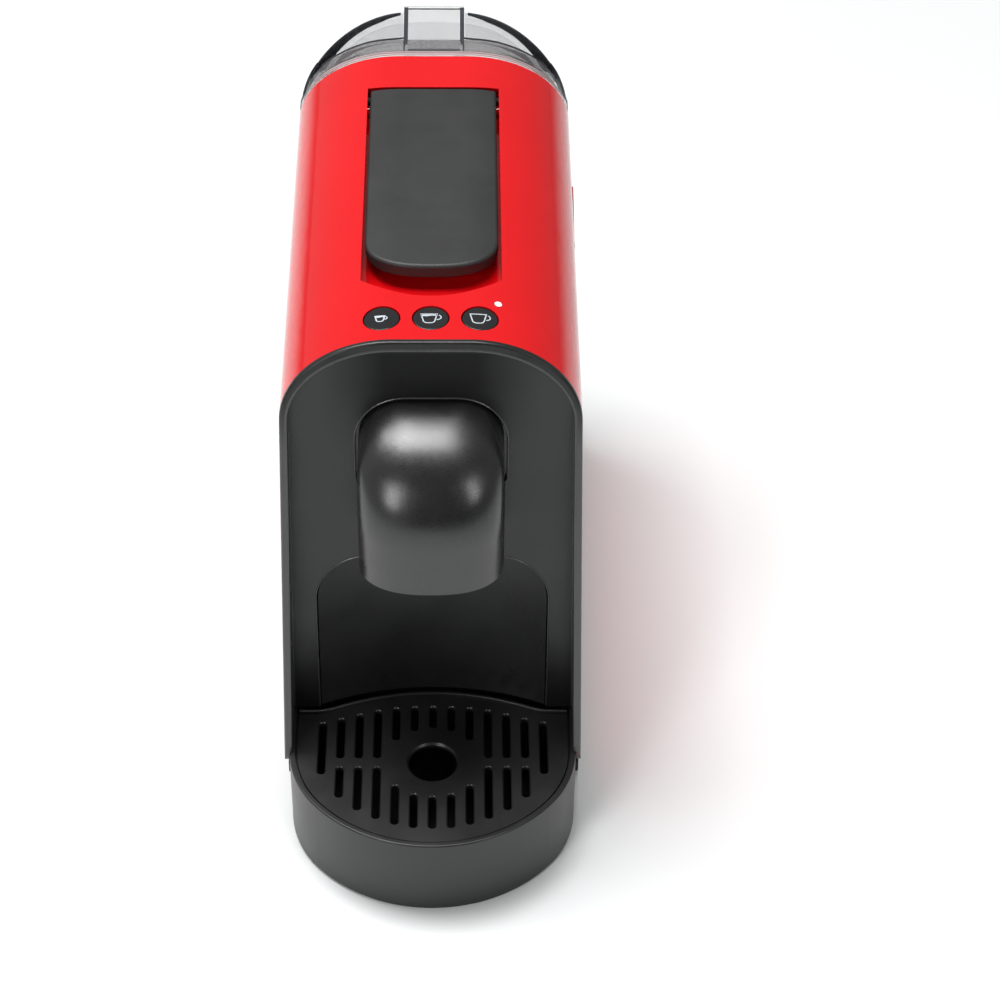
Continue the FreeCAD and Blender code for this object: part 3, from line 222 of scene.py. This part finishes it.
def clear_smoke(name, thin, edge, tint):
    """Clear moulded plastic: nearly invisible face on, smoky where a wall is seen edge on."""
    m = Mat(name)
    m.set(spec=0.5)
    lw = m.t.nodes.new("ShaderNodeLayerWeight")
    lw.inputs["Blend"].default_value = 0.5
    streak = m.noise(45.0, 3.0, 0.5, (1.0, 1.0, 0.25))
    a = m.ramp(lw.outputs["Facing"], [(0.0, thin), (0.55, thin * 1.5), (0.82, edge * 0.45), (0.97, edge)])
    m.link(m.math("ADD", a, m.remap(streak, -0.012, 0.012)), "Alpha")
    m.link(m.ramp(streak, [(0.35, tint), (0.65, tuple(c * 1.15 for c in tint))]), "Base Color")
    m.link(m.remap(streak, 0.04, 0.09), "Roughness")
    m.bump(m.noise(60.0, 2.0, 0.4), 0.05 * MM, 0.08)
    return m.m


M["clear_smoke"] = clear_smoke("clear_smoke", 0.068, 0.94, (0.055, 0.058, 0.068))
M["lamp_white"] = simple("lamp_white", (0.85, 0.85, 0.86), (0.92, 0.92, 0.93), 0.25)
M["rubber_black"] = simple("rubber_black", (0.012, 0.012, 0.012), (0.018, 0.018, 0.018), 0.75, depth=0.05)
M["steel"] = simple("steel", (0.50, 0.50, 0.51), (0.62, 0.62, 0.63), 0.28, metal=1.0, stretch=(0.05, 1, 1))
M["steel_black"] = plastic("steel_black", (0.006, 0.006, 0.006), (0.009, 0.009, 0.009), 0.62, 0.3, 0.01, spec=0.15)
M["aluminium_cast"] = simple("aluminium_cast", (0.48, 0.49, 0.50), (0.60, 0.61, 0.62), 0.5, metal=1.0, grain=0.8, depth=0.08)
M["brass_valve"] = simple("brass_valve", (0.60, 0.42, 0.18), (0.72, 0.54, 0.27), 0.3, metal=1.0)
M["inner_plastic"] = simple("inner_plastic", (0.50, 0.50, 0.48), (0.60, 0.60, 0.58), 0.5)
M["board_green"] = simple("board_green", (0.02, 0.12, 0.05), (0.03, 0.18, 0.08), 0.35)
M["hose_clear"] = simple("hose_clear", (0.60, 0.60, 0.57), (0.72, 0.72, 0.69), 0.45)

slot_of = {s["node"]: s["material_slot"] for s in frame["record"]["subparts"]}
for name, obj in nodes.items():
    obj.data.materials.clear()
    obj.data.materials.append(M[slot_of[name]])

# ------------------------------------------------------------------ printed marks
PRINT = simple("print_white", (0.46, 0.51, 0.56), (0.55, 0.60, 0.65), 0.45, scale=400.0)


def ribbon(bm, pts, width, closed, place):
    """A raised flat line along 2-D points; place(u, v, h) gives the point in space."""
    fine = []
    m = len(pts)
    for i in range(m if closed else m - 1):
        a, b = Vector(pts[i]), Vector(pts[(i + 1) % m])
        k = max(1, int((b - a).length / 0.45))
        fine += [tuple(a.lerp(b, q / k)) for q in range(k)]
    if not closed:
        fine.append(tuple(pts[-1]))
    pts = fine
    n = len(pts)
    rows = []
    for i in range(n):
        a = Vector(pts[i - 1] if (i or closed) else pts[i])
        b = Vector(pts[(i + 1) % n] if (i < n - 1 or closed) else pts[i])
        p = Vector(pts[i])
        t = (b - a).normalized()
        t0 = (p - a).normalized() if (p - a).length > 1e-9 else t
        k = min(1.6, 1.0 / max(0.4, abs(t.dot(t0))))
        side = Vector((-t.y, t.x)) * (width * 0.5 * k)
        rows.append([bm.verts.new(place(q.x, q.y, h)) for q, h in ((p + side, 0), (p + side, 1), (p - side, 1), (p - side, 0))])
    for i in range(n if closed else n - 1):
        r, q = rows[i], rows[(i + 1) % n]
        for k in range(4):
            bm.faces.new((r[k], r[(k + 1) % 4], q[(k + 1) % 4], q[k]))
    if not closed:
        bm.faces.new(rows[0])
        bm.faces.new(list(reversed(rows[-1])))


def patch(bm, pts, place):
    """A raised flat filled shape."""
    lo = [bm.verts.new(place(u, v, 0)) for u, v in pts]
    hi = [bm.verts.new(place(u, v, 1)) for u, v in pts]
    bm.faces.new(hi)
    bm.faces.new(list(reversed(lo)))
    for i in range(len(pts)):
        k = (i + 1) % len(pts)
        bm.faces.new((lo[i], lo[k], hi[k], hi[i]))


def finish_piece(bm, name, mat, body):
    bmesh.ops.recalc_face_normals(bm, faces=bm.faces)
    me = bpy.data.meshes.new(name)
    bm.to_mesh(me)
    bm.free()
    o = bpy.data.objects.new(name, me)
    scene.collection.objects.link(o)
    me.materials.append(mat)
    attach(o, body)
    return o


def arc(cx, cy, rx, ry, a0, a1, n):
    return [(cx + rx * math.cos(math.radians(a0 + (a1 - a0) * i / n)), cy + ry * math.sin(math.radians(a0 + (a1 - a0) * i / n))) for i in range(n + 1)]


def top_place(node, cx, cy, lift=0.10):
    """Points on the upper face of a node, in millimetres from (cx, cy)."""
    o = nodes[node]
    inv = o.matrix_world.inverted()

    def place(u, v, h):
        p = Vector(((cx + u) * MM, (cy + v) * MM, 0.30))
        ok, hit, _n, _i = o.ray_cast(inv @ p, inv.to_3x3() @ Vector((0, 0, -1)))
        z = (o.matrix_world @ hit).z if ok else 0.2507
        return Vector((p.x, p.y, z + (lift if h else -0.05) * MM))
    return place


def cup_icon(node, body, wt, wb, h, line, fill):
    lo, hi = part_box(node)
    c = ((lo[0] + hi[0]) * 500.0, (lo[1] + hi[1]) * 500.0)
    place = top_place(node, c[0] - 0.7, c[1] - 0.1)
    bm = bmesh.new()
    r = h * 0.3
    out = [(-wt / 2, h / 2), (wt / 2, h / 2)]
    out += arc(wb / 2 - r, -h / 2 + r, r, r, -12, -90, 6)
    out += arc(-wb / 2 + r, -h / 2 + r, r, r, -90, -168, 6)
    ribbon(bm, out, line, True, place)
    ear = arc(wt / 2 - 0.1, h * 0.13, h * 0.30, h * 0.27, 62, -95, 10)
    ribbon(bm, ear, line * 0.92, False, place)
    if fill:
        k = h * (0.5 - fill)
        w = wt / 2 - (wt - wb) / 2 * fill
        patch(bm, [(-wt / 2, h / 2), (-w, k), (-w * 0.3, k - 0.25), (w * 0.35, k + 0.25), (w, k), (wt / 2, h / 2)][::-1], place)
    return finish_piece(bm, node + "_cup_mark", PRINT, body)


cup_icon("button_small", "small_cup_button", 4.1, 3.0, 3.6, 0.55, 0.26)
cup_icon("button_medium", "medium_cup_button", 6.9, 5.0, 5.9, 0.52, 0.22)
cup_icon("button_large", "large_cup_button", 6.9, 5.0, 5.9, 0.52, 0.0)


def side_place(node, cy, cz, lift=0.06):
    o = nodes[node]
    inv = o.matrix_world.inverted()

    def place(u, v, h):
        p = Vector((0.09, (cy + u) * MM, (cz + v) * MM))
        ok, hit, _n, _i = o.ray_cast(inv @ p, inv.to_3x3() @ Vector((-1, 0, 0)))
        x = (o.matrix_world @ hit).x if ok else 0.0655
        return Vector((x + (lift if h else -0.05) * MM, p.y, p.z))
    return place


bm = bmesh.new()
sw = side_place("power_rocker", 73.5, 190.0)
ribbon(bm, [(-8.0, -1.9), (-8.0, 0.0), (-8.0, 1.9)], 0.6, False, sw)
ribbon(bm, arc(8.0, 0.0, 1.9, 1.9, 0, 345, 23), 0.55, True, sw)
finish_piece(bm, "rocker_marks", PRINT, "rocker")

# ------------------------------------------------------------- lid walls, seams
SMOKE_EDGE = clear_smoke("smoke_edge", 0.74, 0.93, (0.036, 0.038, 0.046))
SMOKE_MID = clear_smoke("smoke_mid", 0.33, 0.84, (0.130, 0.120, 0.124))
# painted highlight: the pinkish-white tint stands for the reflection of the red body on the clear front lip
LIP_HIGHLIGHT = clear_smoke("lid_lip_painted_highlight", 0.45, 0.85, (0.620, 0.480, 0.480))
SMOKE_WIN = clear_smoke("smoke_window", 0.125, 0.50, (0.100, 0.100, 0.108))
SMOKE_STRAP = clear_smoke("smoke_strap", 0.075, 0.50, (0.100, 0.100, 0.108))
# painted highlight: a lighter grey than the panel for the bead along the rim's inner edge
RIM_HIGHLIGHT = plastic("rim_painted_highlight", (0.050, 0.050, 0.052), (0.062, 0.062, 0.064), 0.30, 0.30, 0.004, spec=0.6)
# painted highlight: the seam beads are a lighter grey than the black panel, standing for the bright edge lines
SEAM_HIGHLIGHT = plastic("seam_painted_highlight", (0.050, 0.050, 0.052), (0.060, 0.060, 0.062), 0.24, 0.30, 0.004, spec=0.7)


def loft(bm, sections, close_ends=True):
    """Skin through closed loops of equal length, given in millimetres."""
    rows = [[bm.verts.new(Vector(p) * MM) for p in sec] for sec in sections]
    n = len(rows[0])
    for a, b in zip(rows, rows[1:]):
        for k in range(n):
            bm.faces.new((a[k], a[(k + 1) % n], b[(k + 1) % n], b[k]))
    if close_ends:
        bm.faces.new(rows[0][::-1])
        bm.faces.new(rows[-1])


def roof(x, off=0.0, offz=None):
    """Height of the arched section at x."""
    offz = off if offz is None else offz
    u = max(0.0, abs(x) - 16.0) / (49.0 - off)
    return 213.0 + (38.0 - offz) * math.sqrt(max(0.0, 1.0 - u * u))


def span(a, b, n):
    return [a + (b - a) * i / n for i in range(n + 1)]


bm = bmesh.new()
for s_ in (-1, 1):
    # tall curved rear wall of each hollow
    sec = []
    for x in span(16.2, 57.6, 26):
        yb = 82.5 + math.sqrt(91.7 ** 2 - x * x)
        lo, hi = max(227.05, roof(x, 9.0, 4.2)), roof(x, 1.3)
        k = min(1.0, (x - 16.2) / 10.0)
        lo = hi - (hi - lo) * (0.45 + 0.55 * k)
        sec.append([(s_ * x, yb - 0.02, lo), (s_ * x, yb - 0.02, hi), (s_ * x, yb - 0.50, hi - 0.05), (s_ * x, yb - 0.50, lo)])
    loft(bm, sec)
    # side walls of the strap
    sec = []
    for y in span(139.5, 175.5, 18):
        k = max(0.0, min(1.0, (y - 144.0) / 5.0))
        w = 0.7 + 1.35 * k
        z0 = 250.35 - 3.3 * k
        sec.append([(s_ * 14.5, y, z0), (s_ * 14.5, y, 250.85), (s_ * (14.5 - w), y, 250.85), (s_ * (14.5 - w), y, z0)])
    loft(bm, sec)
    # front edge of each hollow
    sec = []
    for x in span(14.4, 54.5, 28):
        z = roof(x, 1.2)
        yy = 150.6 - max(0.0, x - 30.0) * 0.07 + 0.9 * math.exp(-(x - 14.5) / 3.0)
        sec.append([(s_ * x, yy - 0.75, z - 0.5), (s_ * x, yy - 0.75, z + 0.05), (s_ * x, yy - 0.02, z + 0.05), (s_ * x, yy - 0.02, z - 0.5)])
    loft(bm, sec)
    # corner wall of the lid
    sec = []
    for k in range(25):
        if k < 6:
            x, y = 64.4, 135.6 + 5.9 * k / 6.0
        else:
            a = math.radians(66.0 * (k - 6) / 18.0)
            x, y = 51.0 + 13.4 * math.cos(a), 141.5 + 13.4 * math.sin(a)
        hi = roof(x, 0.4) - 0.2
        lo = max(218.2, hi - 6.5)
        cx, cy = x - 0.45 * math.cos(math.radians(30)), y - 0.45 * math.sin(math.radians(30))
        sec.append([(s_ * x, y, lo), (s_ * x, y, max(hi, lo + 0.6)), (s_ * cx, cy, max(hi, lo + 0.6)), (s_ * cx, cy, lo)])
    loft(bm, sec)
# step behind the front rim, rear edge of the strap
sec = []
for x in span(-59.0, 59.0, 70):
    z = roof(x, 1.2)
    sec.append([(x, 138.15, z - 0.3), (x, 138.15, z + 0.25), (x, 138.95, z + 0.06), (x, 138.95, z - 0.3)])
loft(bm, sec)
sec = []
for x in span(-15.4, 15.4, 12):
    sec.append([(x * 0.93, 174.3, 250.3), (x * 0.93, 174.3, 250.90), (x * 0.93, 174.8, 250.75), (x * 0.93, 174.8, 250.2)])
loft(bm, sec)
finish_piece(bm, "lid_wall_edges", SMOKE_EDGE, "lid")

bm = bmesh.new()
sec = []
for x in span(-58.0, 58.0, 70):
    z = roof(x, 1.35)
    sec.append([(x, 139.2, z - 0.6), (x, 139.2, z), (x, 149.6 - max(0.0, abs(x) - 30.0) * 0.07, z), (x, 149.6 - max(0.0, abs(x) - 30.0) * 0.07, z - 0.6)])
loft(bm, sec)
finish_piece(bm, "lid_front_band", SMOKE_MID, "lid")

# two thin strips on the lid's front lip, tinted as a painted pinkish highlight
bm = bmesh.new()
for y0, y1 in ((135.25, 136.35), (136.95, 137.85)):
    sec = []
    for x in span(-61.0, 61.0, 72):
        z = roof(x) - 0.04
        sec.append([(x, y0, z - 0.5), (x, y0, z), (x, y1, z), (x, y1, z - 0.5)])
    loft(bm, sec)
finish_piece(bm, "lid_front_lip", LIP_HIGHLIGHT, "lid")


bm = bmesh.new()
for s_ in (-1, 1):
    sec = []
    for x in span(14.9, 55.5, 24):
        z = max(227.6, roof(x, 9.0, 4.2) + 0.35)
        ya = 150.8 - max(0.0, x - 30.0) * 0.07
        yb = max(ya + 0.5, 82.5 + math.sqrt(91.0 ** 2 - x * x) - 0.3)
        sec.append([(s_ * x, ya, z), (s_ * x, ya, z + 0.3), (s_ * x, yb, z + 0.3), (s_ * x, yb, z)])
    loft(bm, sec)
    # inner face of the rear wall above each pane
    sec = []
    for x in span(15.0, 55.5, 24):
        yb = 82.5 + math.sqrt(91.7 ** 2 - x * x) - 0.62
        lo, hi = max(228.0, roof(x, 9.0, 4.2) + 0.70), roof(x, 1.4)
        sec.append([(s_ * x, yb, lo), (s_ * x, yb, max(hi, lo + 0.3)), (s_ * x, yb - 0.25, max(hi, lo + 0.3)), (s_ * x, yb - 0.25, lo)])
    loft(bm, sec)
finish_piece(bm, "lid_window_panes", SMOKE_WIN, "lid")

bm = bmesh.new()
sec = [[(x, 139.3, 250.1), (x, 139.3, 250.4), (x, 173.9, 250.4), (x, 173.9, 250.1)] for x in span(-12.3, 12.3, 8)]
loft(bm, sec)
finish_piece(bm, "lid_strap_pane", SMOKE_STRAP, "lid")


def y_panel(z):
    return -94.8 + (z - 47.0) * 0.0915


def bead(bm, path, r, n=10):
    """A round bead along (x, z) points on the panel face."""
    pts = [Vector((x, y_panel(z), z)) for x, z in path]
    nrm = Vector((0, -1, 0.0915)).normalized()
    sec = []
    for i, p in enumerate(pts):
        t = (pts[min(i + 1, len(pts) - 1)] - pts[max(i - 1, 0)]).normalized()
        side = t.cross(nrm)
        sec.append([tuple(p + side * (r * math.cos(2 * math.pi * k / n)) + nrm * (r * math.sin(2 * math.pi * k / n))) for k in range(n)])
    loft(bm, sec)


def door(hw, z0, z1, rad):
    """Open outline of a round-shouldered opening, foot to foot."""
    pts = [(-hw, z) for z in span(z0, z1 - rad, 14)]
    pts += arc(-hw + rad, z1 - rad, rad, rad, 180, 90, 14)[1:]
    pts += [(x, z1) for x in span(-hw + rad, hw - rad, 10)][1:]
    pts += arc(hw - rad, z1 - rad, rad, rad, 90, 0, 14)[1:]
    pts += [(hw, z) for z in span(z1 - rad, z0, 14)][1:]
    return pts


# softened inner edge of the raised rim, a bead in a lighter grey as a painted highlight; on the tilted plane of the
# rim's face
RIM_Y0, RIM_K = -77.540, 0.21620
bm = bmesh.new()
path = []
for z in span(47.0, 213.0, 40):
    path.append((65.0 + (213.0 - z) * 0.0167 - 2.9, z))
for a in span(0.0, 90.0, 30)[1:]:
    c, q = math.cos(math.radians(a)), math.sin(math.radians(a))
    path.append((16.0 + 46.1 * c, 213.0 + 34.2 * q))
path += [(x, 247.2) for x in span(16.0, 0.0, 6)[1:]]
path = [(-x, z) for x, z in path] + [(x, z) for x, z in path[::-1]][1:]
rim_pts = [Vector((x, RIM_Y0 + (z - 251.0) * RIM_K, z)) for x, z in path]
nrm = Vector((0, -1, RIM_K)).normalized()
sec = []
for i, q in enumerate(rim_pts):
    t = (rim_pts[min(i + 1, len(rim_pts) - 1)] - rim_pts[max(i - 1, 0)]).normalized()
    side = t.cross(nrm)
    sec.append([tuple(q + side * (0.62 * math.cos(2 * math.pi * k / 10)) + nrm * (0.20 * math.sin(2 * math.pi * k / 10))) for k in range(10)])
loft(bm, sec)
finish_piece(bm, "rim_edge_line", RIM_HIGHLIGHT, "housing")

# seam beads around the spout hole and the cup niche; their lighter grey is a painted highlight
bm = bmesh.new()
bead(bm, door(33.35, 176.8, 221.1, 22.4), 0.42)
finish_piece(bm, "spout_seam", SEAM_HIGHLIGHT, "housing")
bm = bmesh.new()
bead(bm, door(52.45, 46.5, 135.25, 25.5), 0.34)
finish_piece(bm, "niche_seam", SEAM_HIGHLIGHT, "housing")

# ------------------------------------------------------------------ floor, light
fm = Mat("floor_white")
fm.set(rough=0.9, spec=0.1)
fm.link(fm.ramp(fm.noise(3.0, 2.0), [(0.3, (0.920, 0.94, 0.94)), (0.7, (0.940, 0.96, 0.96))]), "Base Color")
bpy.ops.mesh.primitive_plane_add(size=12.0, location=(0, 1.0, 0))
floor = bpy.context.object
floor.name = "studio_floor"
floor.data.materials.append(fm.m)

world = bpy.data.worlds.new("studio")
scene.world = world
world.use_nodes = True
wt_ = world.node_tree
bg = wt_.nodes["Background"]
tc = wt_.nodes.new("ShaderNodeTexCoord")
dot = wt_.nodes.new("ShaderNodeVectorMath")
dot.operation = "DOT_PRODUCT"
dot.inputs[1].default_value = (0.0, -0.80, 0.60)
wt_.links.new(tc.outputs["Generated"], dot.inputs[0])
wr = wt_.nodes.new("ShaderNodeMapRange")
for k, v in (("From Min", 0.30), ("From Max", 0.80), ("To Min", 1.0), ("To Max", 0.14)):
    wr.inputs[k].default_value = v
wt_.links.new(dot.outputs["Value"], wr.inputs["Value"])
wx = wt_.nodes.new("ShaderNodeSeparateXYZ")
wt_.links.new(tc.outputs["Generated"], wx.inputs[0])
wl = wt_.nodes.new("ShaderNodeMapRange")
for k, v in (("From Min", -0.75), ("From Max", 0.55), ("To Min", 0.46), ("To Max", 0.24)):
    wl.inputs[k].default_value = v
wt_.links.new(wx.outputs["X"], wl.inputs["Value"])
wm = wt_.nodes.new("ShaderNodeMath")
wm.operation = "MULTIPLY"
wt_.links.new(wr.outputs["Result"], wm.inputs[0])
wt_.links.new(wl.outputs["Result"], wm.inputs[1])
bg.inputs["Color"].default_value = (1, 1, 1, 1)
wt_.links.new(wm.outputs[0], bg.inputs["Strength"])


def area(name, loc, target, size, power, size_y=None):
    d = bpy.data.lights.new(name, "AREA")
    d.shape = "RECTANGLE"
    d.size = size
    d.size_y = size_y or size
    d.energy = power
    o = bpy.data.objects.new(name, d)
    scene.collection.objects.link(o)
    o.location = loc
    o.rotation_mode = "QUATERNION"
    o.rotation_quaternion = (Vector(target) - Vector(loc)).to_track_quat("-Z", "Y")
    return o


area("overhead_softbox", (-0.125, 0.14, 1.70), (-0.125, 0.14, 0.0), 0.76, 19.0, 0.58)
area("back_left_softbox", (-0.62, 0.36, 1.62), (0, 0, 0.1), 0.66, 10.8)
area("front_left_softbox", (-0.80, -1.30, 0.98), (0, -0.1, 0.2), 0.44, 8.0, 0.80)
area("front_right_softbox", (0.95, -1.15, 1.12), (0, -0.1, 0.2), 0.40, 4.6, 0.80)

# ------------------------------------------------------------------------ camera
cam = bpy.data.objects.new("camera", bpy.data.cameras.new("camera"))
scene.collection.objects.link(cam)
cam.data.sensor_width = 36.0
cam.data.lens = 104.22
cam.location = (0.012, -1.0132, 1.033)
cam.rotation_mode = "QUATERNION"
cam.rotation_quaternion = (Matrix.Rotation(math.radians(47.0), 4, "X") @ Matrix.Rotation(-math.atan(41.0 / 2895.0), 4, "Y")).to_quaternion()
cam.data.clip_start, cam.data.clip_end = 0.05, 30.0
scene.camera = cam
scene.view_settings.view_transform = "Standard"
scene.view_settings.look = "None"
